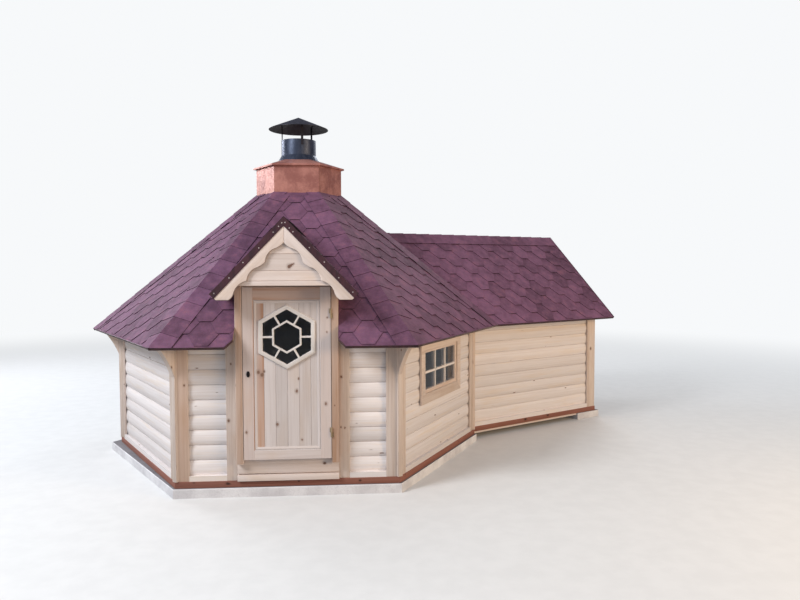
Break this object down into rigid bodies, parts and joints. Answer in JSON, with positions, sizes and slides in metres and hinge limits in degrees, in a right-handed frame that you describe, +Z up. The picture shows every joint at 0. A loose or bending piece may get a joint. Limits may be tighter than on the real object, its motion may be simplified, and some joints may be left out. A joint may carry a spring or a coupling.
{
  "type": "timber grill hut with extension",
  "caption": "Hexagonal log-panel garden hut with a steep shingled roof, smoke pipe, dormer over a glazed door, a side window and a gabled extension.",
  "frame": {"origin": "centre of the hexagonal room on the ground, under the smoke pipe", "axes": "+Z up; the door faces -Y; the extension runs out at 30 degrees from +X towards +Y"},
  "size_m": [5.9841, 4.7233, 3.493],
  "materials": {
    "concrete": "smooth grey-white concrete",
    "sill_timber": "brown-red treated timber",
    "wall_timber": "unpainted pale log panelling",
    "floor_timber": "planed floor boards",
    "board_timber": "planed pale boards",
    "door_timber": "planed pinkish boards",
    "shingles": "red-brown granulated bitumen shingles on boards",
    "flashing": "dark red-brown painted edge",
    "collar_metal": "glossy red-brown painted sheet",
    "pipe_metal": "dull grey sheet steel",
    "hat_metal": "dark grey painted sheet",
    "hinge_metal": "zinc-plated steel",
    "lock_metal": "dark plate",
    "glass": "clear glass"
  },
  "bodies": {
    "hut": {"foundation_slab": "concrete", "foundation_blocks": "concrete", "sill_hexagon": "sill_timber", "sill_extension": "sill_timber", "floor_main": "floor_timber", "floor_extension": "floor_timber", "wall_front_left": "wall_timber", "wall_front_right": "wall_timber", "wall_left_front": "wall_timber", "wall_left_back": "wall_timber", "wall_back": "wall_timber", "wall_right": "wall_timber", "extension_wall_front": "wall_timber", "extension_wall_back": "wall_timber", "extension_wall_end": "wall_timber", "corner_posts": "board_timber", "extension_posts": "board_timber", "eave_brackets": "board_timber", "threshold": "board_timber", "door_frame": "board_timber", "door_trims": "board_timber", "hinges_frame": "hinge_metal", "window_frame": "board_timber", "window_glass": "glass", "roof_front": "shingles", "roof_left_front": "shingles", "roof_left_back": "shingles", "roof_back": "shingles", "roof_right_back": "shingles", "roof_right_front": "shingles", "roof_extension_front": "shingles", "roof_extension_back": "shingles", "dormer_roof_left": "shingles", "dormer_roof_right": "shingles", "dormer_cheeks": "board_timber", "dormer_gable": "board_timber", "dormer_bargeboards": "board_timber", "dormer_flashing": "flashing", "smoke_collar": "collar_metal", "collar_lid": "collar_metal", "chimney_pipe": "pipe_metal", "chimney_hat": "hat_metal"},
    "door": {"door_leaf": "door_timber", "door_light": "door_timber", "door_glass": "glass", "door_lock": "lock_metal", "hinges_leaf": "hinge_metal"}
  },
  "joints": [
    {"name": "door_hinge", "type": "hinge", "parent": "hut", "child": "door", "pos_m": [0.3635, -1.70763, 1.044], "axis": [0, 0, 1], "range_deg": [0, 90]}
  ]
}
